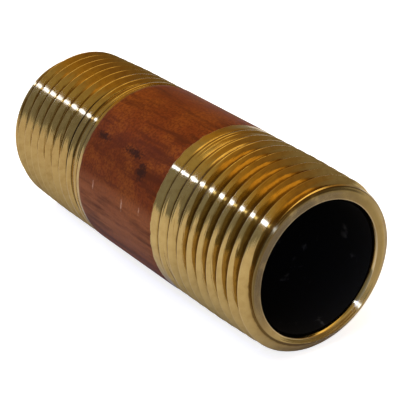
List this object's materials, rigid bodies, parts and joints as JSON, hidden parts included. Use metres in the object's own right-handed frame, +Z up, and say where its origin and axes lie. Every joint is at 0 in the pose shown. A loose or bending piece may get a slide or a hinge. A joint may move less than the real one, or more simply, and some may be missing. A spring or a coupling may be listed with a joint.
{
  "type": "threaded pipe nipple",
  "caption": "Short length of red brass pipe with a right-hand taper pipe thread cut on each end and a plain oxidised middle, for joining female fittings.",
  "frame": {"origin": "on the pipe's axis, midway between its two end faces", "axes": "+X along the axis towards one threaded end, +Z up as it lies on its side; it is round, so Y and Z are alike apart from where each thread starts"},
  "size_m": [0.0508, 0.0214, 0.0214],
  "materials": {
    "red_brass": "machined yellow-brown brass on the threads and end faces, red-brown oxide on the plain middle, dark oxide in the bore"
  },
  "bodies": {
    "root": {"pipe_nipple": "red_brass"}
  },
  "joints": []
}
